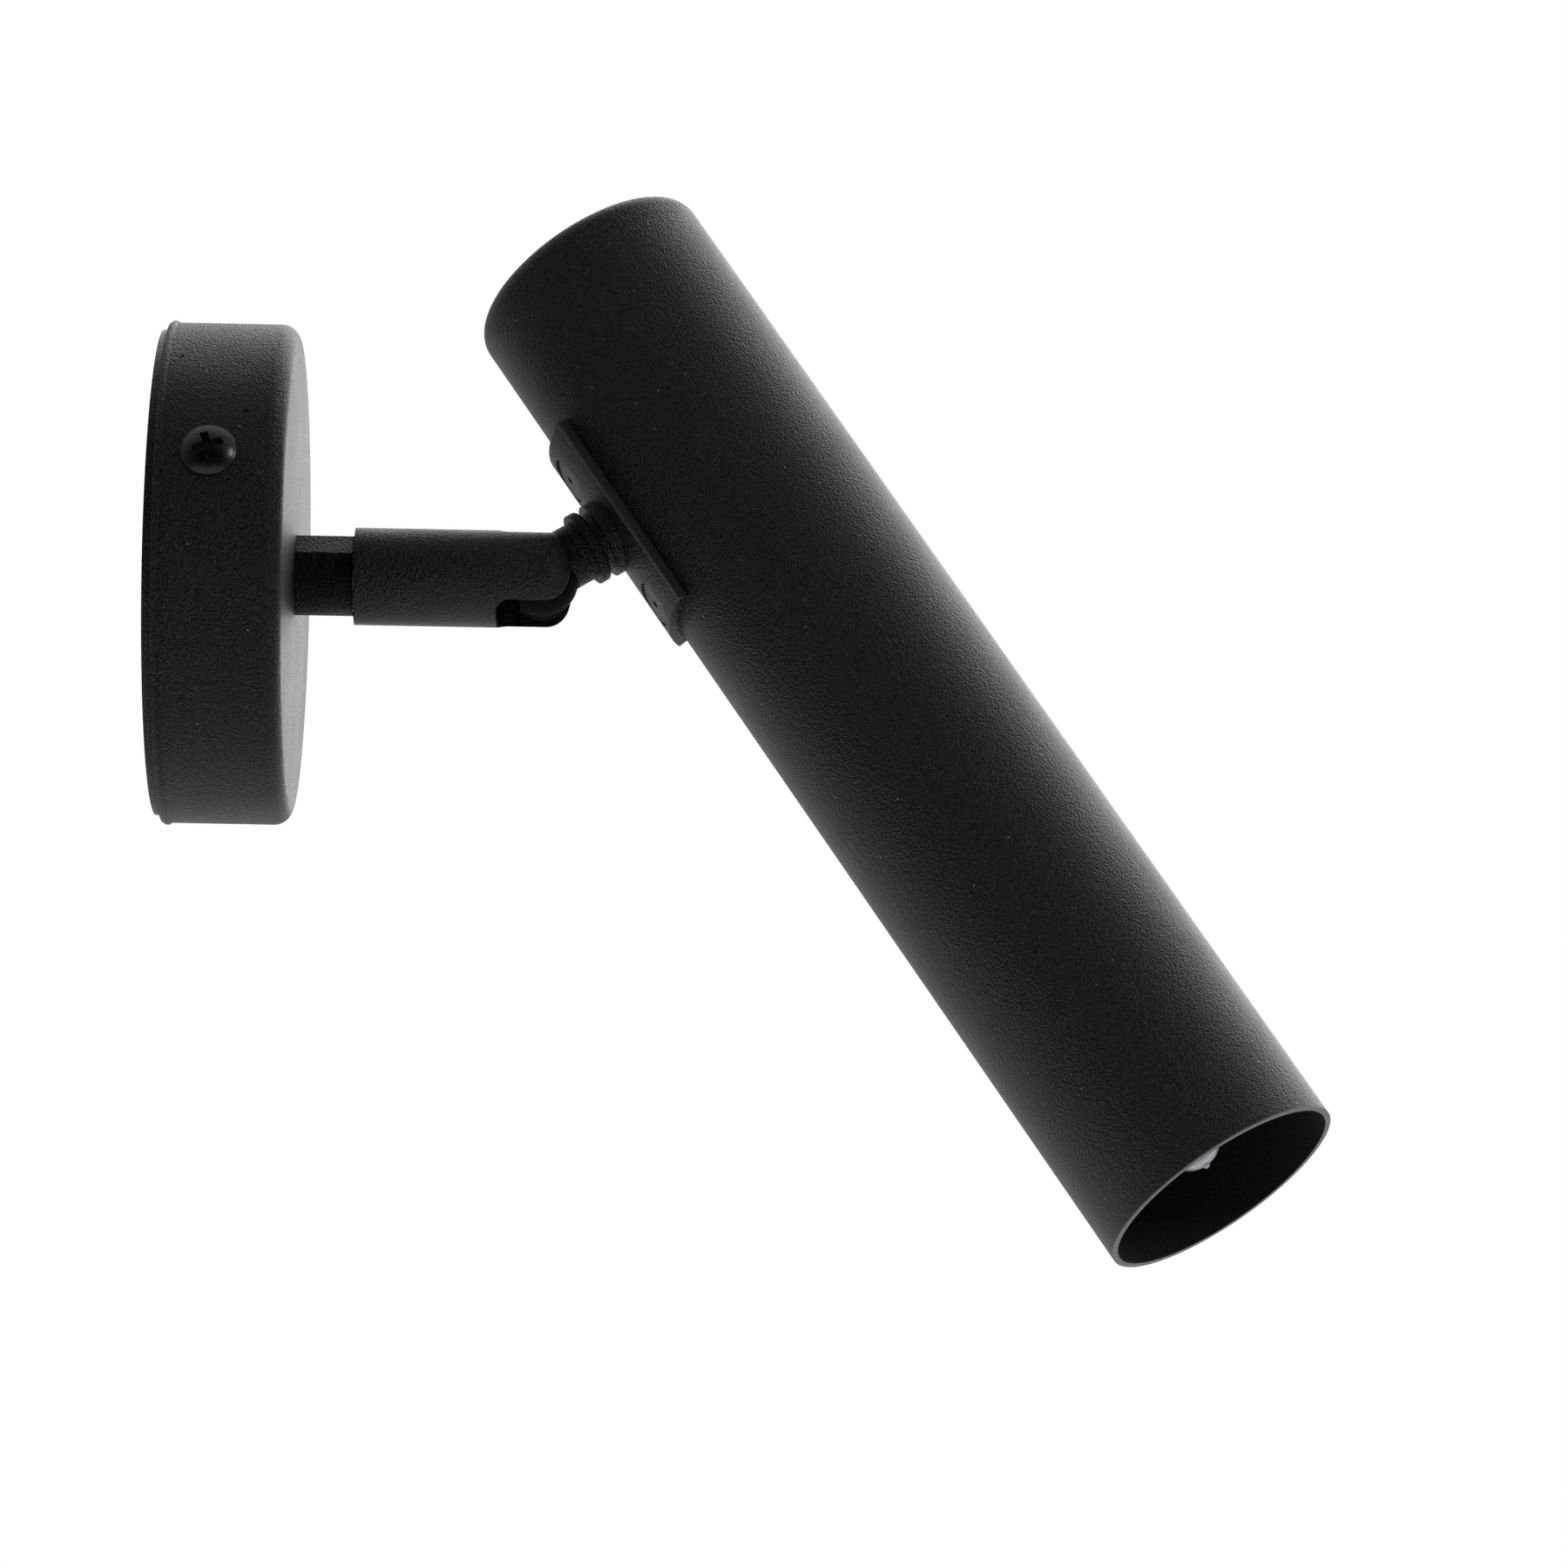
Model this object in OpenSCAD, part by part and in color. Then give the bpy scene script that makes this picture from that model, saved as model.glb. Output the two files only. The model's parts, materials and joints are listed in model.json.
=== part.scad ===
// Adjustable tube wall light: a round wall canopy, a swivelling and tilting
// joint, and a long straight tube with a capsule lamp at its open lower end.
// X points out of the wall along the arm, Z points up, and the origin is the
// centre of the wall plate's back face. The joint is drawn in the pose that
// the rest angles below give.

/* [Rest pose] */
// Angle that the joint housing is turned about the arm, in degrees
swivel_rest = -24.6; // [-60:0.1:60]
// Angle of the tube's stub above the arm, in degrees
tilt_rest = 33.1; // [-20:0.1:60]

/* [Wall plate] */
// Gap between the wall plate's edge and the inside of the canopy's wall
plate_gap = 0.3; // [0.1:0.05:1.5]
// Thickness of the wall plate's sheet
plate_t = 1.5; // [1:0.1:3]
// Distance between the two wall screws
wall_screw_pitch = 60; // [52:1:70]
// Diameter of the wall screw holes
wall_screw_hole = 5; // [3.5:0.1:6]
// Width of the two bent ears that carry the canopy
ear_w = 12; // [8:0.5:16]
// Length of the ears from the plate's front face
ear_len = 19; // [17:0.5:22]
// Diameter of the cable hole's grommet seat
grommet_seat = 20; // [16:0.5:24]
// Bore of the cable grommet
cable_bore = 12; // [8:0.5:14]

/* [Canopy] */
// Outer diameter of the canopy
canopy_d = 100; // [100:0.5:120]
// Depth of the canopy from its rim to its front face
canopy_depth = 25.6; // [25.1:0.1:40]
// Wall thickness of the canopy
canopy_wall = 1.2; // [0.8:0.1:1.2]
// Outer radius of the canopy's front edge
canopy_edge_r = 3.5; // [2:0.1:6]
// Height that the rolled rim stands proud of the canopy's side
rim_bead = 0.4; // [0.2:0.05:0.6]
// Angle of the side screws above the horizontal, in degrees
side_screw_angle = 27.5; // [0:0.5:40]
// Distance of the side screws from the canopy's rim
side_screw_x = 10.7; // [9:0.1:14]
// Diameter of the side screws' heads
side_head_d = 11.2; // [9:0.1:12]
// Height of the side screws' domed heads
side_head_h = 2.3; // [1.6:0.1:2.6]
// Thread diameter of the side screws
side_screw_d = 4; // [3:0.1:4.5]

/* [Swivel] */
// Outer diameter of the hollow threaded spindle and stud
spindle_d = 10; // [8:0.1:10.5]
// Bore of the hollow spindle and stud
spindle_bore = 6.5; // [6:0.1:7]
// Distance across the flats of the two hexagon nuts
hex_af = 14; // [13.5:0.1:17]
// Diameter of the collar between canopy and joint
collar_d = 16; // [15:0.1:19]
// Length of the collar
collar_len = 11.5; // [8:0.1:20]
// Distance across the collar's two wrench flats
collar_af = 14.6; // [13:0.1:14.9]
// Angle of the collar's upper flat above the horizontal, in degrees
collar_turn = 58.5; // [0:0.5:90]
// Thickness of the two hexagon nuts
nut_t = 3; // [2:0.1:4]
// Length of the bush that turns on the spindle
bush_len = 8; // [6:0.1:10]
// Thickness of the friction washer in the swivel
swivel_washer_t = 1; // [0.5:0.1:1.5]
// Thickness of the spindle's head
spindle_head_t = 3; // [2:0.1:4]
// Width of each stop tooth in the swivel, in degrees
stop_tooth = 14; // [8:1:18]

/* [Joint] */
// Outer diameter of the joint housing
housing_d = 19.5; // [19.5:0.1:22]
// Length of the joint housing
housing_len = 43.4; // [42:0.1:55]
// Radius of the housing's front edge
housing_edge_r = 5.2; // [3:0.1:5.5]
// Diameter of the housing's inner chamber
chamber_d = 15; // [14:0.1:15.5]
// Width of the slot that the knuckle swings in
slot_w = 12.4; // [11:0.1:12.8]
// Depth of the slot from the housing's front end
slot_depth = 15; // [14.8:0.1:18]
// Corner radius at the inner end of the slot
slot_corner_r = 2.6; // [1:0.1:3]
// Distance of the tilt axis from the housing's front end
hinge_setback = 6.2; // [6:0.1:6.6]
// Diameter of the two pivot pins
pivot_d = 5; // [4:0.1:5.5]
// Thickness of the two friction washers beside the knuckle
tilt_washer_t = 0.5; // [0.3:0.05:0.6]
// Diameter of the friction washers
tilt_washer_d = 12; // [10:0.1:12.4]
// Diameter of the cable hole between chamber and slot
cable_hole = 7; // [6.6:0.1:8]

/* [Knuckle] */
// Radius of the knuckle's round end
knuckle_r = 7.45; // [6.5:0.05:7.6]
// Distance of the neck's axis from the tilt axis, toward the tube's cap
neck_lift = 1.2; // [0:0.1:1.2]
// Diameter of the knuckle's neck before its two flats are cut
neck_d = 12.4; // [12:0.1:14.5]
// Radius of the flare between the neck's flats and the ring
neck_flare_r = 2.4; // [1.5:0.1:2.5]
// Distance from the tilt axis to the start of the flare
flare_start = 8.2; // [8.1:0.1:10]
// Diameter of the ring
ring_d = 15.2; // [15:0.1:18]
// Thickness of the ring
ring_t = 2.2; // [1.5:0.1:3]
// Width of the groove between ring and spacer
groove_w = 1.5; // [1:0.1:3]
// Diameter of the groove's floor
groove_d = 12.4; // [11.6:0.1:13.5]
// Diameter of the neck spacer
spacer_d = 15.6; // [14.6:0.1:18]
// Thickness of the spacer's thin middle
spacer_t = 1.8; // [1.5:0.1:4]
// Bore for the leads through the knuckle
knuckle_bore = 5; // [4:0.1:5.5]

/* [Saddle] */
// Thickness of the curved saddle plate
saddle_t = 2.3; // [1.5:0.1:3]
// Length of the saddle plate along the tube
saddle_len = 46; // [45:0.5:60]
// Half of the angle that the plate covers round the tube, in degrees
saddle_half = 24; // [20:0.5:50]
// Distance of the saddle plate's middle from the stub, toward the tube's mouth
saddle_drop = 0.8; // [0:0.1:1]
// Distance between the two rivets along the tube
rivet_pitch = 32.5; // [31:0.5:34]
// Distance of the middle between the rivets from the plate's middle
rivet_drop = 0.8; // [0:0.1:1]
// Diameter of the rivets' flat heads
rivet_head_d = 9.3; // [8:0.1:9.5]
// Depth of the flat seats for the rivets' heads
rivet_seat = 1.2; // [1.1:0.05:1.45]
// Depth of the heads' faces below the middle of the plate's outer side
rivet_sink = 0.4; // [0.2:0.05:0.5]
// Gap between each head and the wall of its seat
rivet_ring = 0.2; // [0.1:0.05:0.3]
// Diameter of the rivets' shanks
rivet_d = 4.8; // [4:0.1:5]
// Bore of the rivets
rivet_bore = 1.6; // [1:0.1:2.5]

/* [Tube] */
// Outer diameter of the lamp tube
tube_d = 50.4; // [50:0.1:60]
// Wall thickness of the lamp tube
tube_wall = 1.3; // [0.8:0.1:1.4]
// Length of the tube from the stub to the cap
tube_up = 47.7; // [30:0.1:60]
// Length of the tube from the stub to its open mouth
tube_down = 182.3; // [160:0.1:240]
// Height of the end cap's visible band
cap_h = 6.1; // [4:0.1:8]
// Radius of the end cap's outer edge
cap_edge_r = 3.6; // [2:0.1:3.8]
// Depth of the cap's collar inside the tube
cap_collar = 8; // [5:0.5:12]

/* [Lamp holder] */
// Thickness of the bracket's strip
strip_t = 1.5; // [1:0.1:2]
// Width of the bracket's strip
strip_w = 10; // [8:0.5:11]
// Length of the ceramic holder along the lamp
holder_len = 19; // [18:0.5:24]
// Width of the ceramic holder across the two contacts
holder_w = 21; // [20:0.5:23]
// Depth of the ceramic holder
holder_depth = 15; // [12:0.5:18]
// Distance between the lamp's two pins
pin_pitch = 9; // [8.8:0.1:9.2]
// Diameter of the capsule lamp's glass
bulb_d = 12.5; // [12:0.1:14]
// Overall length of the capsule lamp without its pins
bulb_len = 44; // [42:0.5:50]
// Distance of the lamp's tip inside the tube's mouth
bulb_inset = 5; // [2:0.5:12]

/* [Wiring] */
// Outer diameter of the insulated leads
lead_d = 2.4; // [1.8:0.1:2.6]
// Half distance between the two leads
lead_y = 1.6; // [1.4:0.05:1.7]
// Distance between the poles of the terminal block
pole_pitch = 8; // [7:0.5:9]
// Height of the terminal block from the wall plate
block_h = 14; // [12:0.5:16]
// Length of the terminal block along its wires
block_len = 16; // [14:0.5:18]

/* [Hidden] */
$fn = 96;

// Colours
coat = [0.055, 0.055, 0.06];
steel = [0.72, 0.73, 0.75];
brass = [0.80, 0.66, 0.36];
fibre = [0.10, 0.10, 0.10];
ceramic = [0.90, 0.88, 0.83];
nylon = [0.86, 0.86, 0.84];
rubber = [0.12, 0.12, 0.12];
earth_green = [0.35, 0.62, 0.15];

// Clearances
run_fit = 0.05;
body_gap = 0.3;
slide_fit = 0.1;
cut = 1;

// Places along the arm, from the wall outward
rim_x = plate_t;
front_x = rim_x + canopy_depth;
inner_x = front_x - canopy_wall;
washer_t = 1;
nut_x = inner_x - washer_t - nut_t;
spindle_x = nut_x - 3;
housing_x = front_x + collar_len + body_gap;
housing_end = housing_x + housing_len;
hinge_x = housing_end - hinge_setback;
slot_x = housing_end - slot_depth;
bush_end = housing_x + bush_len;
head_x = bush_end + swivel_washer_t + slide_fit;
head_end = head_x + spindle_head_t;
stop_t = 2;
stop_lead_in = 0.3;
chamber_end = head_end + stop_lead_in + stop_t + 3;
lead_front = slot_x - 8;

// Radii
canopy_r = canopy_d / 2;
canopy_inner_r = canopy_r - canopy_wall;
plate_r = canopy_inner_r - plate_gap;
housing_r = housing_d / 2;
chamber_r = chamber_d / 2;
spindle_r = spindle_d / 2;
tube_r = tube_d / 2;
tube_inner_r = tube_r - tube_wall;
saddle_r = tube_r + saddle_t;

// Tongue, pins and washers between the two cheeks of the slot
tongue_half = slot_w / 2 - tilt_washer_t - 2 * run_fit;
pin_inner = knuckle_bore / 2 + 0.8;
cable_flare_d = 9;

// Places along the stub, from the tilt axis outward to the tube
ring_x = flare_start + neck_flare_r;
groove_x = ring_x + ring_t;
spacer_x = groove_x + groove_w;
tube_x = spacer_x + spacer_t + saddle_r;
stud_x = ring_x - 3;
strip_x = tube_x - sqrt(pow(tube_inner_r, 2) - pow(spindle_d * 0.9, 2)) + 0.05;
eye_d = spindle_d * 1.8;
stud_nut_x = strip_x + strip_t;
stud_end = stud_nut_x + nut_t + 1;

// Places along the tube, from the stub's axis, positive toward the cap
mouth_z = -tube_down;
bulb_tip_z = mouth_z + bulb_inset;
bulb_base_z = bulb_tip_z + bulb_len;
pinch_depth = 8;
bulb_r = bulb_d / 2;
shoulder_z = bulb_base_z - 15;
holder_mouth_z = bulb_base_z - pinch_depth;
holder_top_z = holder_mouth_z + holder_len;
flange_t = 3;
contact_h = 7;
contact_z = bulb_base_z + 0.5;
pin_len = 6.5;
pin_d = 1.2;
flange_half = holder_w / 2 + 5.8;
holder_screw_x = holder_w / 2 + 3.1;
platform_w = holder_depth + 1;
platform_end = flange_half + 0.5;

// Small details
wire_sides = 8;
wire_steps = 4;
recess_l = 6;
recess_w = 1.6;
rivet_tail = 1.3;
stop_inner_r = 4.6;
stop_outer_r = 6.4;
bulb_wall = 0.9;
pinch_w = 13;
pinch_t = 3.8;
ear_face = canopy_inner_r - 1.2;
grommet_lip = 1.5;
block_margin = 14.5;
block_z = -(plate_r - block_margin - block_len / 2);
terminal_screw_d = 3;
block_screw_d = 2.5;
block_head_d = 4.4;
block_head_x = plate_t + block_h - 4;
screw_short = 0.2;
earth_screw_d = 4;
holder_screw_d = 3;
block_w = 3 * pole_pitch + 2;
entry_x = plate_t + block_h * 0.58;
earth_y = 17;
earth_z = 14;

// A cylinder along X from x0 to x1
module rod(x0, x1, d) {
    translate([x0, 0, 0]) rotate([0, 90, 0]) cylinder(d = d, h = x1 - x0);
}

// A straight pipe along X
module pipe(x0, x1, d, bore) {
    difference() {
        rod(x0, x1, d);
        rod(x0 - cut, x1 + cut, bore);
    }
}

// A hexagon prism along X with two flats facing the sides
module hexagon(x0, x1, af) {
    translate([x0, 0, 0]) rotate([0, 90, 0]) cylinder(d = af / cos(30), h = x1 - x0, $fn = 6);
}

// Half outline of a round body whose far edge is rounded
module edge_profile(r, h, edge) {
    square([r - edge, h]);
    square([r, h - edge]);
    intersection() {
        translate([r - edge, h - edge]) circle(r = edge);
        square([r, h]);
    }
}

// Half outline of a shallow dome of radius r and height h on a base
module dome_profile(r, h, base) {
    ball = (r * r + h * h) / (2 * h);
    intersection() {
        translate([0, base + h - ball]) circle(r = ball);
        square([r, base + h]);
    }
}

// A round body along X whose far edge is rounded
module puck(x0, r, h, edge) {
    translate([x0, 0, 0]) rotate([0, 90, 0]) rotate_extrude() edge_profile(r, h, edge);
}

// A sector of a ring along X, centred on the direction that angle gives
module sector(x0, x1, r0, r1, angle, width) {
    translate([x0, 0, 0]) rotate([angle - width / 2, 0, 0]) rotate([90, 0, 90])
        rotate_extrude(angle = width) translate([r0, 0]) square([r1 - r0, x1 - x0]);
}

// A point of the smooth curve through four points, at t between the middle two
function curve_point(a, b, c, d, t) =
    0.5 * (2 * b + (c - a) * t + (2 * a - 5 * b + 4 * c - d) * t * t
           + (3 * b - a - 3 * c + d) * t * t * t);

// The smooth curve through a list of points
function smooth_route(p) = [
    for (i = [0 : len(p) - 2], k = [0 : wire_steps - 1])
        curve_point(p[max(i - 1, 0)], p[i], p[i + 1], p[min(i + 2, len(p) - 1)], k / wire_steps),
    p[len(p) - 1]
];

// The direction of the curve at point i
function heading(p, i) =
    let (run = p[min(i + 1, len(p) - 1)] - p[max(i - 1, 0)]) run / norm(run);

// A wire swept along a list of points, with one ring square to the curve at each;
// side is a direction that no stretch of the wire runs along
module wire(points, d, side = [0, 1, 0]) {
    route = smooth_route(points);
    last = len(route) - 1;
    rings = [
        for (i = [0 : last])
            let (ahead = heading(route, i), u = cross(ahead, side), v = u / norm(u), w = cross(ahead, v))
                for (k = [0 : wire_sides - 1])
                    route[i] + d / 2 * (cos(k * 360 / wire_sides) * v + sin(k * 360 / wire_sides) * w)
    ];
    walls = [
        for (i = [0 : last - 1], k = [0 : wire_sides - 1])
            let (a = i * wire_sides + k, b = i * wire_sides + (k + 1) % wire_sides)
                for (face = [[a, a + wire_sides, b], [b, a + wire_sides, b + wire_sides]]) face
    ];
    ends = [
        [for (k = [0 : wire_sides - 1]) k],
        [for (k = [wire_sides - 1 : -1 : 0]) last * wire_sides + k]
    ];
    polyhedron(points = rings, faces = concat(walls, ends));
}

// The frame of the joint housing: turned about the arm
module on_arm() {
    rotate([swivel_rest, 0, 0]) children();
}

// The frame of the lamp head: X along the stub's axis, Z along the tube toward its cap
module on_head() {
    on_arm() translate([hinge_x, 0, 0]) rotate([0, -tilt_rest, 0])
        translate([0, 0, neck_lift]) children();
}

// A solid cylinder on the tube's own axis
module tube_core(r) {
    translate([tube_x, 0, mouth_z - cut]) cylinder(r = r, h = tube_up + tube_down + 2 * cut);
}

// Places children at each canopy side screw, with Z pointing out of the canopy
module at_side_screws() {
    for (side = [180 - side_screw_angle, -side_screw_angle])
        translate([rim_x + side_screw_x, 0, 0]) rotate([side, 0, 0]) rotate([-90, 0, 0]) children();
}

// Places children at both rivets, with Z pointing away from the tube's axis
module at_rivets() {
    for (side = [-0.5, 0.5])
        translate([tube_x, 0, side * rivet_pitch - saddle_drop - rivet_drop])
            rotate([0, -90, 0]) children();
}

// Places children at each pole of the terminal block
module at_poles() {
    for (i = [-1, 0, 1]) translate([0, i * pole_pitch, 0]) children();
}

// Places children at the two contacts of the lamp holder
module at_contacts() {
    for (side = [-0.5, 0.5]) translate([tube_x + side * pin_pitch, 0, 0]) children();
}

// Places children at the two screws of the lamp holder
module at_holder_screws() {
    for (side = [-1, 1]) translate([tube_x + side * holder_screw_x, 0, 0]) children();
}

module wall_plate() {
    color(coat) difference() {
        union() {
            rod(0, plate_t, 2 * plate_r);
            at_side_screws() translate([-side_screw_x - rim_x, -ear_w / 2, ear_face - plate_t])
                cube([plate_t + ear_len, ear_w, plate_t]);
        }
        rod(-cut, plate_t + cut, grommet_seat);
        for (side = [-0.5, 0.5]) translate([0, side * wall_screw_pitch, 0])
            rod(-cut, plate_t + cut, wall_screw_hole);
        at_side_screws() translate([0, 0, ear_face - plate_t - cut])
            cylinder(d = side_screw_d, h = plate_t + 2 * cut);
        translate([0, pole_pitch / 2, block_z]) rod(-cut, plate_t + cut, block_screw_d);
        translate([0, earth_y, earth_z]) rod(-cut, plate_t + cut, earth_screw_d);
    }
}

module cable_grommet() {
    color(rubber) difference() {
        union() {
            rod(0, plate_t, grommet_seat);
            puck(plate_t, grommet_seat / 2 + 1.5, grommet_lip, 0.6);
        }
        rod(-cut, plate_t + grommet_lip + cut, cable_bore);
    }
}

module terminal_block() {
    color(nylon) difference() {
        union() {
            translate([plate_t, -block_w / 2, block_z - block_len / 2])
                cube([block_h - 4, block_w, block_len]);
            at_poles() translate([plate_t, -pole_pitch * 0.38, block_z - block_len / 2])
                cube([block_h, pole_pitch * 0.76, block_len]);
        }
        at_poles() {
            translate([entry_x, 0, block_z - block_len / 2 - cut])
                cylinder(d = lead_d + 0.8, h = block_len + 2 * cut);
            for (side = [-1, 1]) translate([0, 0, block_z + side * block_len * 0.28])
                rod(entry_x, plate_t + block_h + cut, terminal_screw_d);
        }
        translate([0, pole_pitch / 2, block_z]) {
            rod(plate_t - cut, plate_t + block_h + cut, block_screw_d);
            rod(block_head_x, plate_t + block_h + cut, block_head_d + 0.4);
        }
    }
}

module terminal_screws() {
    color(brass) at_poles() for (side = [-1, 1])
        translate([0, 0, block_z + side * block_len * 0.28]) difference() {
            rod(entry_x + lead_d / 2, plate_t + block_h - 1, terminal_screw_d);
            translate([plate_t + block_h - 1.8, -terminal_screw_d, -0.3])
                cube([cut + 0.8, 2 * terminal_screw_d, 0.6]);
        }
}

// A round-headed screw along -X whose head rests at x0
module head_screw(x0, d, head_d, head_h, depth) {
    difference() {
        union() {
            puck(x0, head_d / 2, head_h, head_h * 0.6);
            rod(x0 - depth, x0, d);
        }
        for (turn = [0, 90]) rotate([turn, 0, 0])
            translate([x0 + head_h - 0.8, -head_d * 0.3, -0.4]) cube([cut, head_d * 0.6, 0.8]);
    }
}

module block_screw() {
    color(steel) translate([0, pole_pitch / 2, block_z])
        head_screw(block_head_x, block_screw_d, block_head_d, 2, block_head_x - screw_short);
}

module earth_terminal() {
    color(brass) translate([0, earth_y, earth_z]) difference() {
        union() {
            rod(plate_t, plate_t + 0.8, 8);
            translate([plate_t, -2, -9]) cube([0.8, 4, 9]);
            translate([plate_t, -2, -9]) cube([3.2, 4, 0.8]);
        }
        rod(plate_t - cut, plate_t + 1 + cut, earth_screw_d);
    }
}

module earth_screw() {
    color(brass) translate([0, earth_y, earth_z])
        head_screw(plate_t + 0.8, earth_screw_d, 7, 2.4, plate_t + 0.8 - screw_short);
}

module earth_lead() {
    bottom = block_z + block_len / 2 - 3;
    color(earth_green) wire([
        [entry_x, pole_pitch, bottom],
        [entry_x, pole_pitch, bottom + 5],
        [entry_x - 1, pole_pitch + 3, bottom + 9],
        [plate_t + 5, earth_y - 3, earth_z - 15],
        [plate_t + 2.6, earth_y, earth_z - 12.8],
        [plate_t + 2.2, earth_y, earth_z - 9.4],
    ], lead_d);
}

module canopy_leads() {
    top = block_z + block_len / 2;
    color(rubber) for (side = [-1, 1]) {
        pole = side < 0 ? -pole_pitch : 0;
        wire([
            [lead_front, side * lead_y, 0],
            [spindle_x - 2, side * lead_y, 0],
            [spindle_x - 4, side * lead_y, -0.8],
            [entry_x + 2, side * lead_y + pole * 0.3, -4],
            [entry_x, pole * 0.7 + side * 0.8, -8],
            [entry_x, pole, top + 4],
            [entry_x, pole, top - 3],
        ], lead_d);
    }
}

module canopy_cover() {
    color(coat) difference() {
        union() {
            puck(rim_x, canopy_r, canopy_depth, canopy_edge_r);
            translate([rim_x, 0, 0]) rotate([0, 90, 0]) rotate_extrude()
                translate([canopy_r - 0.5, 0.5 + rim_bead]) circle(r = 0.5 + rim_bead);
        }
        puck(rim_x - cut, canopy_inner_r, canopy_depth - canopy_wall + cut,
             max(canopy_edge_r - canopy_wall, 0.5));
        rod(inner_x - cut, front_x + cut, spindle_d);
        at_side_screws() cylinder(d = side_screw_d + 2 * slide_fit, h = canopy_d);
    }
}

module canopy_screws() {
    color(coat) at_side_screws() {
        difference() {
            translate([0, 0, canopy_r - 1]) rotate_extrude()
                dome_profile(side_head_d / 2, side_head_h, 1);
            rotate([0, 90, 0]) cylinder(r = canopy_r, h = canopy_d, center = true);
            for (turn = [0, 90]) rotate([0, 0, 20 + turn])
                translate([-recess_l / 2, -recess_w / 2, canopy_r + side_head_h - 1.2])
                    cube([recess_l, recess_w, 2]);
        }
        translate([0, 0, ear_face - plate_t - 1])
            cylinder(d = side_screw_d, h = canopy_r - ear_face + plate_t + 1.2);
    }
}

module canopy_nut() {
    color(steel) difference() {
        hexagon(nut_x, nut_x + nut_t, hex_af);
        rod(nut_x - cut, nut_x + nut_t + cut, spindle_d);
    }
}

module tooth_washer() {
    teeth = 12;
    color(steel) difference() {
        rod(nut_x + nut_t, inner_x, spindle_d + 8);
        rod(nut_x, inner_x + cut, spindle_d);
        for (i = [0 : teeth - 1]) rotate([i * 360 / teeth, 0, 0])
            translate([nut_x, spindle_r + 2.4, -0.5]) cube([nut_t + 2 * cut, 4, 1]);
    }
}

// A round collar with two parallel flats for a wrench
module arm_collar() {
    color(coat) difference() {
        intersection() {
            rod(front_x, front_x + collar_len, collar_d);
            rotate([-collar_turn, 0, 0])
                translate([front_x, -collar_af / 2, -collar_d]) cube([collar_len, collar_af, 2 * collar_d]);
        }
        rod(front_x - cut, front_x + collar_len + cut, spindle_d);
    }
}

module swivel_spindle() {
    color(steel) difference() {
        union() {
            rod(spindle_x, head_x + cut, spindle_d);
            rod(head_x, head_end, chamber_d - 1);
            sector(head_end - cut, head_end + stop_lead_in + stop_t, stop_inner_r,
                   stop_outer_r, 90, stop_tooth);
        }
        rod(spindle_x - cut, head_end + stop_t + cut, spindle_bore);
    }
}

module swivel_bush() {
    color(brass) on_arm() pipe(housing_x, bush_end, chamber_d, spindle_d + 2 * run_fit);
}

module swivel_washer() {
    color(fibre) on_arm() pipe(bush_end, bush_end + swivel_washer_t, chamber_d - 1, spindle_d + 2 * run_fit);
}

module stop_ring() {
    start = head_end + stop_lead_in;
    color(steel) on_arm() {
        pipe(start, start + stop_t, chamber_d, 2 * stop_outer_r + 2 * slide_fit);
        sector(start, start + stop_t, stop_inner_r, chamber_r - 0.2, -90, stop_tooth);
    }
}

module joint_housing() {
    color(coat) on_arm() difference() {
        puck(housing_x, housing_r, housing_len, housing_edge_r);
        rod(housing_x - cut, chamber_end, chamber_d);
        rod(chamber_end - cut, slot_x + cut, cable_hole);
        slot_cutter();
        translate([hinge_x, 0, 0]) rotate([90, 0, 0])
            cylinder(d = pivot_d, h = housing_d + 2 * cut, center = true);
    }
}

// The slot through the housing's front end, with rounded inner corners
module slot_cutter() {
    half = slot_w / 2;
    translate([0, 0, -housing_d]) linear_extrude(2 * housing_d) {
        translate([slot_x + slot_corner_r, -half]) square([slot_depth, slot_w]);
        translate([slot_x, slot_corner_r - half]) square([slot_depth, slot_w - 2 * slot_corner_r]);
        for (side = [-1, 1])
            translate([slot_x + slot_corner_r, side * (half - slot_corner_r)]) circle(r = slot_corner_r);
    }
}

module pivot_pins() {
    color(coat) on_arm() intersection() {
        for (side = [0, 180]) translate([hinge_x, 0, 0]) rotate([90 + side, 0, 0])
            translate([0, 0, pin_inner]) cylinder(d = pivot_d, h = housing_d);
        puck(housing_x, housing_r, housing_len, housing_edge_r);
    }
}

module friction_washers() {
    color(fibre) on_arm() for (side = [0, 180])
        translate([hinge_x, 0, 0]) rotate([90 + side, 0, 0])
            translate([0, 0, tongue_half + run_fit]) difference() {
                cylinder(d = tilt_washer_d, h = tilt_washer_t);
                translate([0, 0, -cut]) cylinder(d = pivot_d + 2 * run_fit, h = tilt_washer_t + 2 * cut);
            }
}

module knuckle() {
    color(coat) on_head() difference() {
        union() {
            translate([0, 0, -neck_lift]) intersection() {
                sphere(r = knuckle_r);
                cube([2 * knuckle_r, 2 * tongue_half, 2 * knuckle_r], center = true);
            }
            intersection() {
                rod(0, groove_x, neck_d);
                translate([0, 0, -neck_d]) linear_extrude(2 * neck_d) neck_outline();
            }
            puck(ring_x, ring_d / 2, ring_t, 0.7);
        }
        rod(-knuckle_r - cut, groove_x + cut, knuckle_bore);
        translate([-knuckle_r, 0, 0]) rotate([0, 90, 0])
            cylinder(d1 = cable_flare_d, d2 = knuckle_bore, h = 4);
        rod(stud_x, groove_x + cut, spindle_d);
        translate([0, 0, -neck_lift]) rotate([90, 0, 0]) for (side = [0, 180]) rotate([side, 0, 0])
            translate([0, 0, pin_inner - slide_fit]) cylinder(d = pivot_d + 2 * run_fit, h = ring_d);
    }
}

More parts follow.
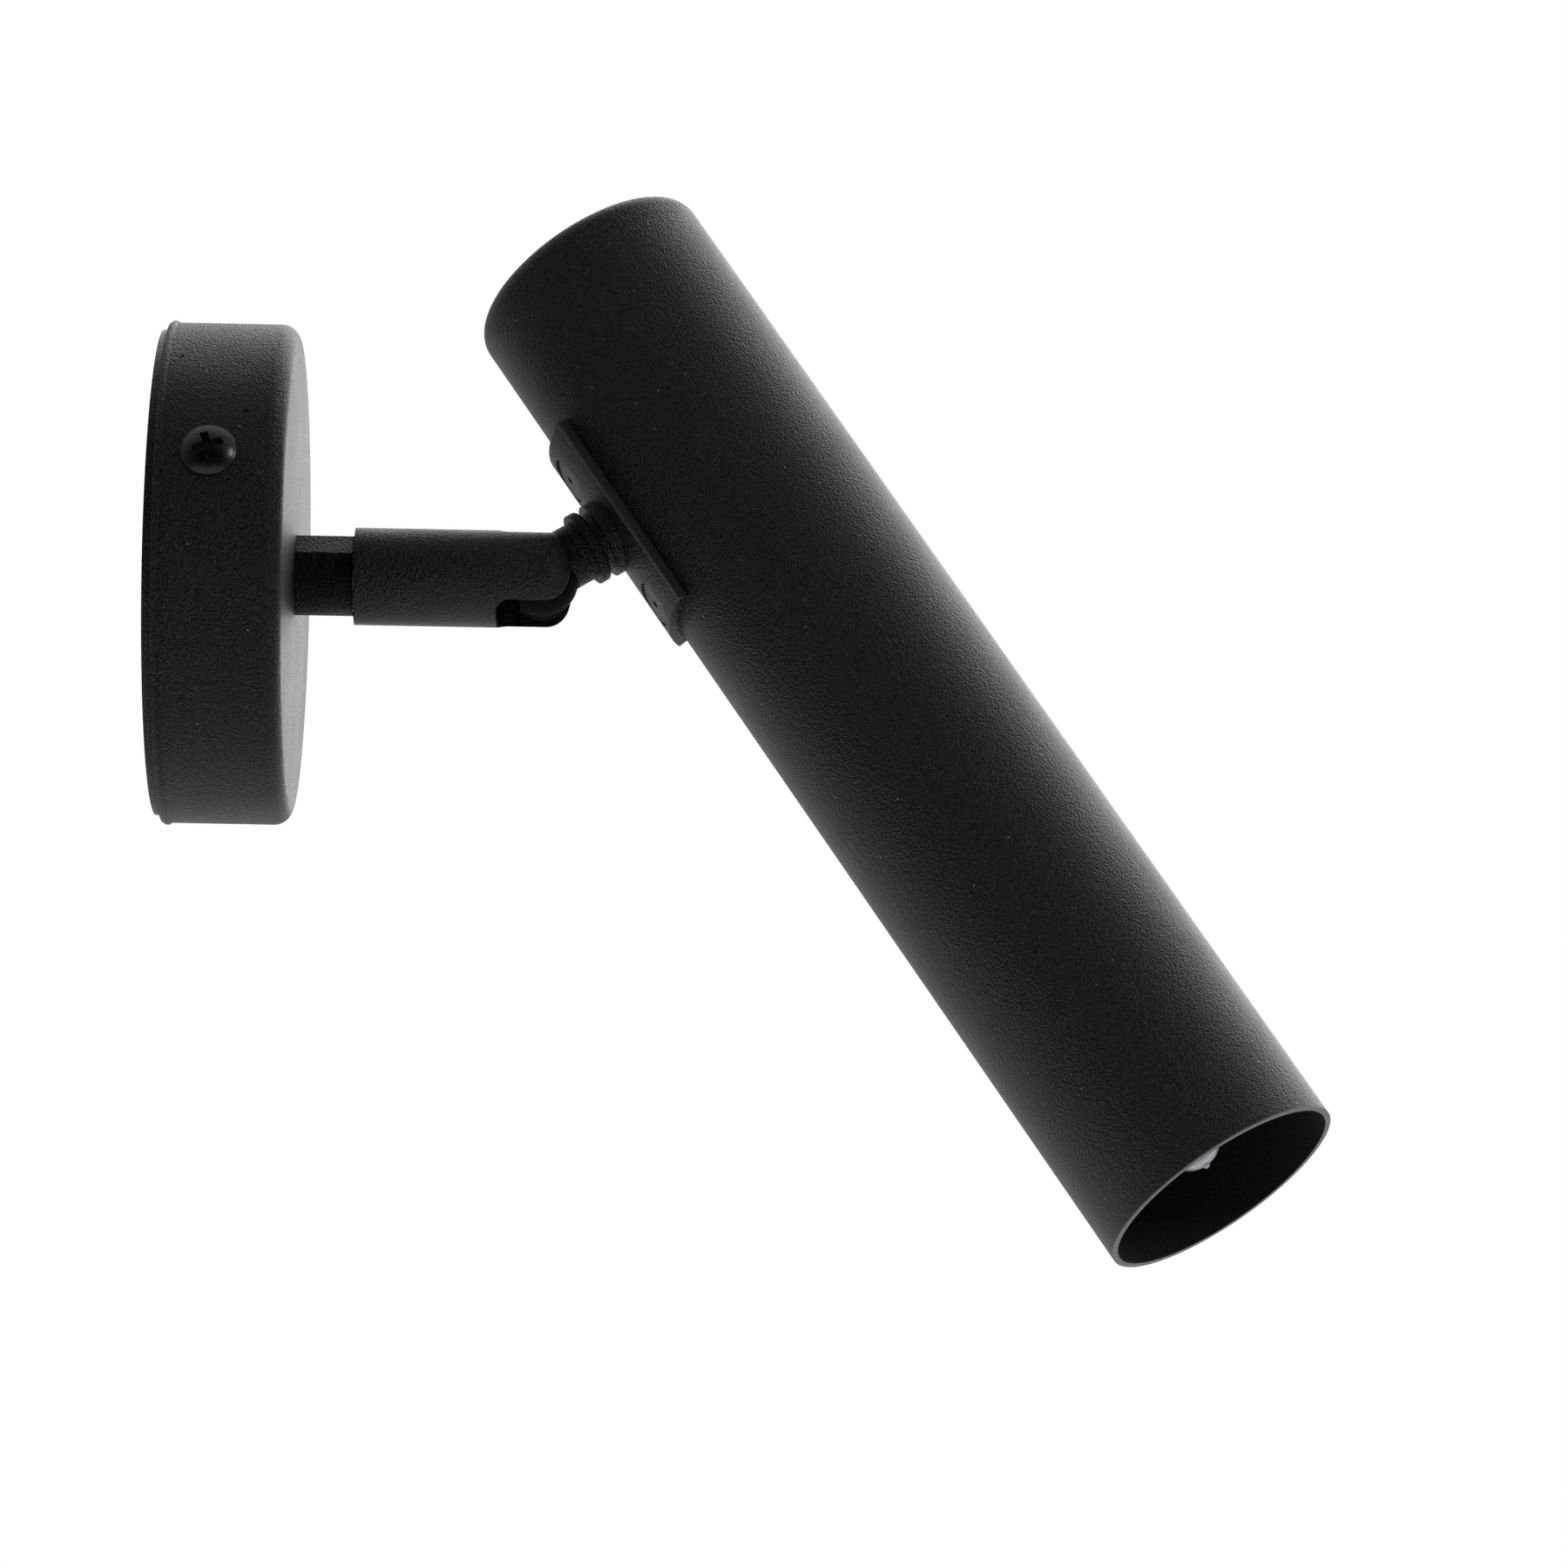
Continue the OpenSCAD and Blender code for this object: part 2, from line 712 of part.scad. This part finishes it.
// The neck seen along the tube: parallel flats that flare out to the ring
module neck_outline() {
    difference() {
        union() {
            translate([0, -tongue_half]) square([ring_x + 0.5, 2 * tongue_half]);
            translate([flare_start, -ring_d / 2]) square([ring_x - flare_start + 0.5, ring_d]);
        }
        for (side = [-1, 1]) translate([flare_start, side * (tongue_half + neck_flare_r)])
            circle(r = neck_flare_r);
    }
}

module neck_spacer() {
    color(coat) on_head() difference() {
        union() {
            rod(groove_x, spacer_x + 0.5, groove_d);
            rod(spacer_x, tube_x - saddle_r * 0.9, spacer_d);
        }
        tube_core(saddle_r);
        rod(groove_x - cut, tube_x, spindle_d);
    }
}

module saddle_plate() {
    color(coat) on_head() difference() {
        translate([tube_x, 0, -saddle_drop - saddle_len / 2]) rotate([0, 0, 180 - saddle_half])
            rotate_extrude(angle = 2 * saddle_half) translate([tube_r, 0]) square([saddle_t, saddle_len]);
        rod(0, tube_x, spindle_d);
        at_rivets() cylinder(d = rivet_d, h = tube_d);
        at_rivets() translate([0, 0, saddle_r - rivet_seat])
            cylinder(d = rivet_head_d + 2 * rivet_ring, h = saddle_t);
    }
}

module saddle_rivets() {
    color(coat) on_head() difference() {
        union() {
            at_rivets() translate([0, 0, saddle_r - rivet_seat]) rotate_extrude()
                edge_profile(rivet_head_d / 2, rivet_seat - rivet_sink, 0.2);
            intersection() {
                at_rivets() translate([0, 0, tube_inner_r - rivet_tail])
                    cylinder(d = rivet_d + 2, h = rivet_tail + 1);
                tube_core(tube_inner_r);
            }
            at_rivets() translate([0, 0, tube_inner_r - rivet_tail])
                cylinder(d = rivet_d, h = saddle_r - rivet_seat - tube_inner_r + rivet_tail + 0.2);
        }
        at_rivets() cylinder(d = rivet_bore, h = tube_d);
    }
}

module hollow_stud() {
    color(steel) on_head() pipe(stud_x, stud_end, spindle_d, spindle_bore);
}

module inner_spacer() {
    color(steel) on_head() difference() {
        intersection() {
            rod(tube_x - tube_r, strip_x, eye_d - 2);
            tube_core(tube_inner_r);
        }
        rod(0, tube_x, spindle_d);
    }
}

module stud_nut() {
    color(steel) on_head() difference() {
        hexagon(stud_nut_x, stud_nut_x + nut_t, hex_af);
        rod(0, tube_x, spindle_d);
    }
}

module lamp_tube() {
    color(coat) on_head() difference() {
        translate([tube_x, 0, mouth_z]) cylinder(r = tube_r, h = tube_up + tube_down);
        tube_core(tube_inner_r);
        rod(0, tube_x, spindle_d);
        at_rivets() cylinder(d = rivet_d, h = tube_d);
    }
}

module end_cap() {
    inside = tube_inner_r - 1.5;
    color(coat) on_head() translate([tube_x, 0, tube_up]) difference() {
        union() {
            rotate_extrude() edge_profile(tube_r, cap_h, cap_edge_r);
            translate([0, 0, -cap_collar]) cylinder(r = tube_inner_r, h = cap_collar + cut);
        }
        translate([0, 0, -cap_collar - cut]) cylinder(r = inside, h = cap_collar + cut + 2);
    }
}

module holder_bracket() {
    platform_z = holder_top_z + flange_t;
    color(steel) on_head() difference() {
        union() {
            rod(strip_x, strip_x + strip_t, eye_d);
            translate([strip_x, -strip_w / 2, platform_z])
                cube([strip_t, strip_w, -platform_z]);
            translate([strip_x, -platform_w / 2, platform_z])
                cube([tube_x + platform_end - strip_x, platform_w, strip_t]);
        }
        rod(0, tube_x, spindle_d);
        at_holder_screws() translate([0, 0, platform_z - cut])
            cylinder(d = holder_screw_d, h = strip_t + 2 * cut);
        for (side = [-1, 1]) translate([tube_x - side * pin_pitch / 2, side * lead_y, platform_z - cut])
            cylinder(d = lead_d + 0.8, h = strip_t + 2 * cut);
    }
}

module lamp_holder() {
    color(ceramic) on_head() difference() {
        union() {
            translate([tube_x - holder_w / 2, -holder_depth / 2, holder_mouth_z])
                cube([holder_w, holder_depth, holder_len]);
            translate([tube_x - flange_half, -holder_depth / 2, holder_top_z])
                cube([2 * flange_half, holder_depth, flange_t]);
        }
        translate([tube_x - pinch_w / 2 - 0.3, -pinch_t / 2 - 0.3, holder_mouth_z - cut])
            cube([pinch_w + 0.6, pinch_t + 0.6, pinch_depth + 0.3 + cut]);
        at_contacts() translate([-2.1, -2.3, bulb_base_z])
            cube([4.2, 4.6, contact_h + 0.8]);
        for (side = [-1, 1]) translate([tube_x - side * pin_pitch / 2, side * lead_y, contact_z])
            cylinder(d = lead_d + 0.2, h = holder_len);
        at_holder_screws() translate([0, 0, holder_top_z - cut])
            cylinder(d = holder_screw_d + 2 * slide_fit, h = flange_t + 2 * cut);
    }
}

module holder_contacts() {
    color(brass) on_head() at_contacts() difference() {
        translate([-1.9, -2.1, contact_z]) cube([3.8, 4.2, contact_h]);
        translate([0, 0, contact_z - cut]) cylinder(d = pin_d + 0.2, h = contact_h);
    }
}

module holder_screws() {
    color(steel) on_head() at_holder_screws() difference() {
        union() {
            translate([0, 0, holder_top_z]) mirror([0, 0, 1]) rotate_extrude()
                edge_profile(holder_screw_d * 0.95, 2, 0.8);
            translate([0, 0, holder_top_z - 0.5])
                cylinder(d = holder_screw_d, h = flange_t + strip_t + 1.5);
        }
        translate([-holder_screw_d, -0.35, holder_top_z - 2 - cut])
            cube([2 * holder_screw_d, 0.7, cut + 0.9]);
    }
}

module bulb_glass() {
    r = bulb_r;
    dome_z = bulb_tip_z + 0.6 + r;
    color([0.9, 0.95, 1.0, 0.4]) on_head() translate([tube_x, 0, 0]) difference() {
        union() {
            translate([0, 0, dome_z]) sphere(r = r);
            translate([0, 0, dome_z]) cylinder(r = r, h = shoulder_z - r - dome_z);
            translate([0, 0, shoulder_z - r]) sphere(r = r);
            translate([-pinch_w / 2, -pinch_t / 2, shoulder_z - 3])
                cube([pinch_w, pinch_t, bulb_base_z - shoulder_z + 3]);
            translate([0, 0, bulb_tip_z]) cylinder(r1 = 0.5, r2 = 1.4, h = 1.2);
        }
        translate([0, 0, dome_z]) sphere(r = r - bulb_wall);
        translate([0, 0, dome_z]) cylinder(r = r - bulb_wall, h = shoulder_z - r - dome_z);
        translate([0, 0, shoulder_z - r]) sphere(r = r - bulb_wall);
    }
}

module bulb_pins() {
    color(steel) on_head() at_contacts() translate([0, 0, bulb_base_z]) {
        cylinder(d = pin_d, h = pin_len - pin_d / 2);
        translate([0, 0, pin_len - pin_d / 2]) sphere(d = pin_d);
    }
}

module bulb_filament() {
    low = bulb_tip_z + bulb_d * 0.9;
    high = low + 12;
    post = 2.4;
    post_d = 0.5;
    top = shoulder_z - bulb_r + sqrt(pow(bulb_r - bulb_wall, 2) - pow(post + post_d / 2, 2));
    color(steel) on_head() translate([tube_x, 0, 0]) {
        translate([0, 0, low]) cylinder(d = 1.6, h = high - low);
        wire([[-post, 0, top], [-post, 0, low + 0.3], [0, 0, low + 0.3]], post_d);
        wire([[post, 0, top], [post, 0, high - 0.3], [0, 0, high - 0.3]], post_d);
    }
}

module head_leads() {
    color(ceramic) on_head() for (side = [-1, 1]) {
        drop_x = tube_x - side * pin_pitch / 2;
        wire([
            [stud_x + 1.5, side * lead_y, 0],
            [drop_x - 6, side * lead_y, 0],
            [drop_x - 2.4, side * lead_y, -1],
            [drop_x - 0.6, side * lead_y, -3.5],
            [drop_x, side * lead_y, -7],
            [drop_x, side * lead_y, contact_z + contact_h],
        ], lead_d);
    }
}

wall_plate();
cable_grommet();
terminal_block();
terminal_screws();
block_screw();
earth_screw();
earth_terminal();
earth_lead();
canopy_leads();
canopy_cover();
canopy_screws();
canopy_nut();
tooth_washer();
arm_collar();
swivel_spindle();
swivel_bush();
swivel_washer();
stop_ring();
joint_housing();
pivot_pins();
friction_washers();
knuckle();
neck_spacer();
saddle_plate();
saddle_rivets();
hollow_stud();
inner_spacer();
stud_nut();
lamp_tube();
end_cap();
holder_bracket();
lamp_holder();
holder_contacts();
holder_screws();
bulb_glass();
bulb_pins();
bulb_filament();
head_leads();
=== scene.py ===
# Looks of the adjustable tube wall light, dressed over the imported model
import json
import math

import bpy
from mathutils import Matrix, Vector


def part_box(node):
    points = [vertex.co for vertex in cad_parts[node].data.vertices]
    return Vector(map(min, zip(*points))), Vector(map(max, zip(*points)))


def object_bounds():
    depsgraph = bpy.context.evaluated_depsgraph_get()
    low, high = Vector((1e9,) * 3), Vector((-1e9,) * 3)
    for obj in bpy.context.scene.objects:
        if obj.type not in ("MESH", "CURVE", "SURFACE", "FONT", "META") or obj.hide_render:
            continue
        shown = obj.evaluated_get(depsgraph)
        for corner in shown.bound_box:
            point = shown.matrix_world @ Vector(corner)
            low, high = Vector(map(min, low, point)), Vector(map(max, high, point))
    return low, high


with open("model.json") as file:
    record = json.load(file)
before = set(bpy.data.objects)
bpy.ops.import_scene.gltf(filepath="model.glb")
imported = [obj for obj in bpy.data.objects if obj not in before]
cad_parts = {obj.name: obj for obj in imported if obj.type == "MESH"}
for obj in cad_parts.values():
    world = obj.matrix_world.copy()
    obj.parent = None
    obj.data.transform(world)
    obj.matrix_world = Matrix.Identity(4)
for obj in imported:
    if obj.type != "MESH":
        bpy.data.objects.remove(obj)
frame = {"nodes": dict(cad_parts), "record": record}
nodes = frame["nodes"]
low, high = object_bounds()

# Sizes of the part in metres, and its photographed pose in degrees
tube_r = 0.0252
tube_wall = 0.0013
canopy_r = 0.05
screw_head_r = 0.0056
screw_head_h = 0.0023
screw_angle = 27.5
knuckle_r = 0.00765
plate_half = 0.0103
swivel_rest = -24.6
tilt_rest = 33.1
tilt_joint = frame["record"]["behaviour"]["joints"][1]
tilt_pivot = tilt_joint["pos_m"]
tilt_axis = tilt_joint["axis"]

# The powder coat: its patterns in repeats per metre, and how strongly they show
gloss_scale = 60.0
gloss_change = 0.06
powder_scale = 2400.0
powder_dark = 0.25
powder_share = (0.45, 0.72)
speck_scale = 200.0
speck_reach = 0.035
speck_colour = (0.28, 0.28, 0.29, 1)


# Node helpers

def material(name):
    """A new material with an empty tree and its output node."""
    mat = bpy.data.materials.new(name)
    mat.use_nodes = True
    tree = mat.node_tree
    tree.nodes.clear()
    return mat, tree, tree.nodes.new("ShaderNodeOutputMaterial")


def put(tree, socket, value):
    """Links another node's output to the socket, or else sets the socket's own value."""
    if isinstance(value, bpy.types.NodeSocket):
        tree.links.new(value, socket)
    else:
        socket.default_value = value


def add(tree, kind, *inputs, **values):
    """A node with its properties set, and its inputs set or linked by place or by name."""
    node = tree.nodes.new(kind)
    for key, value in values.items():
        if hasattr(node, key):
            setattr(node, key, value)
        else:
            put(tree, node.inputs[key.replace("_", " ")], value)
    for socket, value in zip(node.inputs, inputs):
        put(tree, socket, value)
    return node


def principled(tree, colour, roughness, metallic=0.0, specular=0.5, **more):
    return add(
        tree, "ShaderNodeBsdfPrincipled", Base_Color=(*colour, 1), Roughness=roughness,
        Metallic=metallic, Specular_IOR_Level=specular, **more,
    )


def maths(tree, operation, *inputs):
    return add(tree, "ShaderNodeMath", *inputs, operation=operation).outputs["Value"]


def vector_maths(tree, operation, *inputs, out="Value"):
    return add(tree, "ShaderNodeVectorMath", *inputs, operation=operation).outputs[out]


def map_range(tree, value, **ranges):
    return add(tree, "ShaderNodeMapRange", Value=value, **ranges).outputs["Result"]


def blend(tree, share, a, b, kind="RGBA"):
    """A mix that goes from a to b with the share."""
    return add(tree, "ShaderNodeMix", data_type=kind, Factor=share, A=a, B=b).outputs["Result"]


def shader_mix(tree, share, a, b):
    return add(tree, "ShaderNodeMixShader", share, a, b).outputs["Shader"]


# Materials

def grain(tree, surface, size, height, detail=2.0, rough=0.55, edge=0.0):
    """A fine raised grain of that size and height, in metres, on edges softened by edge."""
    place = add(tree, "ShaderNodeTexCoord").outputs["Object"]
    noise = add(tree, "ShaderNodeTexNoise", Vector=place, Scale=1 / size, Detail=detail, Roughness=rough)
    bump = add(tree, "ShaderNodeBump", Strength=1.0, Distance=height, Height=noise.outputs["Fac"])
    if edge:
        bevel = add(tree, "ShaderNodeBevel", samples=6, Radius=edge)
        put(tree, bump.inputs["Normal"], bevel.outputs["Normal"])
    put(tree, surface.inputs["Normal"], bump.outputs["Normal"])
    return place


def coat(name, roughness=0.45, colour=(0.0042, 0.0039, 0.0048), specular=0.35,
         size=0.0005, height=0.0005, edge=0.0003, pale=6.0, patches=()):
    """Black powder coat: a fine grain with pale powder, small changes of gloss and bright specks.

    Pale powder has the colour times pale. Each patch is a mask with a colour and a roughness,
    for painted shade in hollows and recesses, painted light on edges, or a plainly paler region."""
    mat, tree, out = material(name)
    surface = principled(tree, colour, roughness, specular=specular)
    place = grain(tree, surface, size, height, detail=1.5, rough=0.6, edge=edge)
    broad = add(tree, "ShaderNodeTexNoise", Vector=place, Scale=gloss_scale, Detail=3.0)
    matt = map_range(
        tree, broad.outputs["Fac"], To_Min=roughness - gloss_change, To_Max=roughness + gloss_change)
    fine = add(tree, "ShaderNodeTexNoise", Vector=place, Scale=powder_scale, Detail=1.0)
    share = map_range(tree, fine.outputs["Fac"], From_Min=powder_share[0], From_Max=powder_share[1])
    dark_powder, pale_powder = ((*(times * c for c in colour), 1) for times in (powder_dark, pale))
    powder = blend(tree, share, dark_powder, pale_powder)
    cells = add(tree, "ShaderNodeTexVoronoi", Vector=place, Scale=speck_scale)
    speck = maths(tree, "LESS_THAN", cells.outputs["Distance"], speck_reach)
    tint = blend(tree, speck, powder, speck_colour)
    for mask, patch_colour, patch_roughness in patches:
        part = mask(tree, place)
        tint = blend(tree, part, tint, (*patch_colour, 1))
        matt = blend(tree, part, matt, patch_roughness, "FLOAT")
    put(tree, surface.inputs["Base Color"], tint)
    put(tree, surface.inputs["Roughness"], matt)
    put(tree, out.inputs["Surface"], surface.outputs["BSDF"])
    return mat


def plain(name, colour, roughness, metallic=0.0, size=0.0005, height=0.00001, edge=0.00015):
    """A plain surface with a faint grain."""
    mat, tree, out = material(name)
    surface = principled(tree, colour, roughness, metallic)
    grain(tree, surface, size, height, edge=edge)
    put(tree, out.inputs["Surface"], surface.outputs["BSDF"])
    return mat


def clear_glass(name):
    """Clear lamp glass with a milky frost that thins out towards its outline."""
    mat, tree, out = material(name)
    glass = principled(tree, (0.93, 0.94, 0.97), 0.06, Transmission_Weight=1.0, IOR=1.46)
    milk = add(tree, "ShaderNodeBsdfTranslucent", Color=(0.93, 0.92, 0.98, 1))
    pale = add(tree, "ShaderNodeBsdfDiffuse", Color=(0.95, 0.95, 0.98, 1))
    frost = shader_mix(tree, 0.5, milk.outputs["BSDF"], pale.outputs["BSDF"])
    facing = add(tree, "ShaderNodeLayerWeight", Blend=0.35).outputs["Facing"]
    share = map_range(tree, facing, To_Min=0.5, To_Max=0.1)
    mix = shader_mix(tree, share, glass.outputs["BSDF"], frost)
    put(tree, out.inputs["Surface"], mix)
    return mat


# Masks for the coat's patches, each 1 in its region and 0 elsewhere

def near(reach, *points):
    """The region within reach of any of the points."""
    def mask(tree, place):
        shortest, *others = (vector_maths(tree, "DISTANCE", place, point) for point in points)
        for gap in others:
            shortest = maths(tree, "MINIMUM", shortest, gap)
        return maths(tree, "LESS_THAN", shortest, reach)
    return mask


def inside_axis(point, axis, radius):
    """The region nearer than radius to the line through point along axis."""
    def mask(tree, place):
        away = vector_maths(tree, "SUBTRACT", place, point, out="Vector")
        turned = vector_maths(tree, "CROSS_PRODUCT", away, axis, out="Vector")
        return maths(tree, "LESS_THAN", vector_maths(tree, "LENGTH", turned), radius)
    return mask


def along(tree, place, point, axis):
    """How far a place lies from point along axis."""
    away = vector_maths(tree, "SUBTRACT", place, point, out="Vector")
    return vector_maths(tree, "DOT_PRODUCT", away, axis)


def below_plane(point, axis, depth):
    """The region less than depth along axis from point."""
    def mask(tree, place):
        return maths(tree, "LESS_THAN", along(tree, place, point, axis), depth)
    return mask


def beyond_sides(point, axis, half):
    """The region more than half away from point, either way along axis."""
    def mask(tree, place):
        return maths(tree, "GREATER_THAN", maths(tree, "ABSOLUTE", along(tree, place, point, axis)), half)
    return mask


# Finishes of the slots

looks = {
    "coat": coat("powder_coat"),
    "steel": plain("zinc_steel", (0.58, 0.59, 0.60), 0.34, metallic=1.0, size=0.0012, height=0.000012),
    "brass": plain("turned_brass", (0.72, 0.54, 0.25), 0.3, metallic=1.0, size=0.0008, height=0.000008),
    "lamp_wire": plain("bright_wire", (0.60, 0.60, 0.58), 0.22, metallic=1.0, height=0.000002, edge=0.0),
    "fibre": plain("black_fibre", (0.012, 0.011, 0.011), 0.7, height=0.00002),
    "ceramic": plain("glazed_ceramic", (0.80, 0.77, 0.70), 0.32),
    "nylon": plain("moulded_nylon", (0.72, 0.72, 0.69), 0.5),
    "rubber": plain("soft_rubber", (0.02, 0.02, 0.02), 0.65, height=0.00002),
    "black_lead": plain("black_silicone", (0.015, 0.015, 0.015), 0.45, edge=0.0),
    "earth_sleeve": plain("green_sleeve", (0.10, 0.30, 0.03), 0.45, edge=0.0),
    "white_lead": plain("woven_glass_sleeve", (0.75, 0.72, 0.65), 0.75, height=0.00004, edge=0.0),
    "bulb_glass": clear_glass("lamp_glass"),
}


def dress(name, mat):
    nodes[name].data.materials.clear()
    nodes[name].data.materials.append(mat)


for row in frame["record"]["subparts"]:
    dress(row["node"], looks[row["material_slot"]])


# Finishes of single pieces, with painted shade and painted light on some of them

# The tube: a paler rim face and an inside painted dark as shade, found from its axis and from its box at
# rest
tube_axis = (
    Matrix.Rotation(math.radians(swivel_rest), 3, "X")
    @ Matrix.Rotation(math.radians(-tilt_rest), 3, "Y")
    @ Vector((0, 0, 1))
)
tube_low, tube_high = (Vector(corner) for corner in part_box("lamp_tube"))
tube_middle = (tube_low + tube_high) / 2
round_part = tube_r * math.sqrt(1 - tube_axis.x ** 2)
tube_half = ((tube_high.x - tube_low.x) / 2 - round_part) / abs(tube_axis.x)
rim_depth = 0.00025
inside_skin = 0.0001
rim = below_plane(tube_middle, tube_axis, rim_depth - tube_half)
shaded_inside = inside_axis(tube_middle, tube_axis, tube_r - tube_wall + inside_skin)
dress("lamp_tube", coat("tube_coat", patches=(
    # the rim face is painted a paler grey than the coat
    (rim, (0.2, 0.2, 0.205), 0.6),
    # painted shade: the inside of the tube is coloured darker than the coat
    (shaded_inside, (0.0015, 0.0014, 0.0016), 0.85),
)))

# The knuckle's round end, deep in the slot, is painted near-black as shade, with no powder on it; the
# collar is darker than the coat, with less pale powder
dress("knuckle", coat(
    "knuckle_coat", colour=(0.008, 0.0078, 0.0084), specular=0.14,
    # painted shade: the knuckle's round end inside the slot is coloured near-black
    patches=((near(knuckle_r, tilt_pivot), (0.0005, 0.0005, 0.0005), 0.9),),
))
dress("arm_collar", coat("collar_coat", colour=(0.002, 0.0019, 0.0023), specular=0.15, pale=3.0))

# The canopy is a little duller and coarser, with two tiny pits in its side painted as near-black dots of
# shade
pit_shade_points = [(0.0056, -0.0271, 0.0420), (0.0191, -0.0393, 0.0309)]
pit_r = 0.0005
dress("canopy_cover", coat(
    "canopy_coat", specular=0.22, pale=8.0, height=0.0008,
    # painted shade: the two pits are near-black dots on the coat
    patches=((near(pit_r, *pit_shade_points), (0.0003, 0.0003, 0.0003), 0.95),),
))

# The saddle plate's long edges are well rounded and painted paler, a painted highlight where they catch
# the light
dress("saddle_plate", coat(
    "plate_coat", edge=0.0007,
    # painted highlight: the plate's long edges are coloured paler than the coat
    patches=((beyond_sides(tilt_pivot, tilt_axis, plate_half), (0.07, 0.07, 0.072), 0.55),),
))

# The side screws: gloss black domes whose cross recess, which lies inside the dome's sphere, is painted
# near-black as shade
dome_r = (screw_head_r ** 2 + screw_head_h ** 2) / (2 * screw_head_h)
dome_reach = canopy_r + screw_head_h - dome_r
recess_skin = 0.00025
screw_low, screw_high = (Vector(corner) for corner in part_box("canopy_screws"))
dome_y = dome_reach * math.cos(math.radians(screw_angle))
dome_z = dome_reach * math.sin(math.radians(screw_angle))
screw_x = (screw_low.x + screw_high.x) / 2
domes = [(screw_x, -dome_y, dome_z), (screw_x, dome_y, -dome_z)]
dress("canopy_screws", coat(
    "black_screw", roughness=0.28, colour=(0.0015, 0.0015, 0.0015), specular=0.4,
    size=0.0012, height=0.00008, edge=0.0002, pale=1.0,
    # painted shade: the cross recess inside each dome is coloured near-black
    patches=((near(dome_r - recess_skin, *domes), (0.0005, 0.0005, 0.0005), 0.95),),
))


# Floor, light and camera

floor_reach = 2.0
floor_drop = 0.3


def white_floor():
    """A pale floor that keeps the shadow, and turns into the white of the background away from it."""
    mesh = bpy.data.meshes.new("floor")
    corners = [(-1, -1), (1, -1), (1, 1), (-1, 1)]
    mesh.from_pydata([(floor_reach * a, floor_reach * b, 0) for a, b in corners], [], [(0, 1, 2, 3)])
    obj = bpy.data.objects.new("floor", mesh)
    obj.location = ((low.x + high.x) / 2, (low.y + high.y) / 2, low.z - floor_drop)
    bpy.context.scene.collection.objects.link(obj)
    mat, tree, out = material("pale_floor")
    base = principled(tree, (0.82, 0.82, 0.82), 0.9, specular=0.1)
    glow = add(tree, "ShaderNodeEmission", Color=(1, 1, 1, 1), Strength=1.0)
    place = add(tree, "ShaderNodeTexCoord").outputs["Object"]
    share = map_range(
        tree, vector_maths(tree, "LENGTH", place), interpolation_type="SMOOTHSTEP",
        From_Min=0.3, From_Max=1.2, To_Min=0.7, To_Max=1.0)
    path = add(tree, "ShaderNodeLightPath").outputs
    seen = maths(tree, "MAXIMUM", path["Is Camera Ray"], path["Is Glossy Ray"])
    both = maths(tree, "MULTIPLY", seen, share)
    mix = shader_mix(tree, both, base.outputs["BSDF"], glow.outputs["Emission"])
    put(tree, out.inputs["Surface"], mix)
    mesh.materials.append(mat)


def soft_world():
    """White to the camera; a soft studio, paler behind the object than in front, to the rest."""
    world = bpy.data.worlds.new("studio")
    bpy.context.scene.world = world
    world.use_nodes = True
    tree = world.node_tree
    tree.nodes.clear()
    place = add(tree, "ShaderNodeTexCoord").outputs["Generated"]
    depth = add(tree, "ShaderNodeSeparateXYZ", Vector=place).outputs["Y"]
    strength = map_range(tree, depth, From_Min=-0.75, From_Max=0.7, To_Min=0.05, To_Max=1.0)
    studio = add(tree, "ShaderNodeBackground", Strength=strength).outputs["Background"]
    white = add(tree, "ShaderNodeBackground", Color=(1, 1, 1, 1), Strength=1.0).outputs["Background"]
    path = add(tree, "ShaderNodeLightPath").outputs
    seen = maths(tree, "MAXIMUM", path["Is Camera Ray"], path["Is Transmission Ray"])
    add(tree, "ShaderNodeOutputWorld", Surface=shader_mix(tree, seen, studio, white))


def lamp(name, place, aim, size, power):
    """A soft square lamp that points at aim."""
    data = bpy.data.lights.new(name, "AREA")
    data.shape = "SQUARE"
    data.size = size
    data.energy = power
    obj = bpy.data.objects.new(name, data)
    bpy.context.scene.collection.objects.link(obj)
    obj.location = place
    obj.rotation_mode = "QUATERNION"
    obj.rotation_quaternion = (Vector(aim) - Vector(place)).to_track_quat("-Z", "Y")
    obj.visible_camera = False


def photo_camera(place, roll, lens, sensor):
    """A level camera that looks along +Y, turned by roll degrees about its view."""
    data = bpy.data.cameras.new("camera")
    data.lens = lens
    data.sensor_width = sensor
    data.dof.use_dof = False
    obj = bpy.data.objects.new("camera", data)
    bpy.context.scene.collection.objects.link(obj)
    obj.matrix_world = (
        Matrix.Translation(place)
        @ Matrix.Rotation(math.radians(roll), 4, "Y")
        @ Matrix.Rotation(math.radians(90), 4, "X")
    )
    bpy.context.scene.camera = obj


white_floor()
soft_world()
middle = (0.12, 0.0, -0.03)
lamp("back", place=(0.62, 1.29, 0.54), aim=middle, size=1.6, power=21)
lamp("side", place=(1.55, -0.51, 0.78), aim=middle, size=0.34, power=6)
photo_camera(place=(0.1254, -1.6075, -0.0399), roll=-1.086, lens=184.56, sensor=36)
bpy.context.scene.view_settings.view_transform = "Standard"
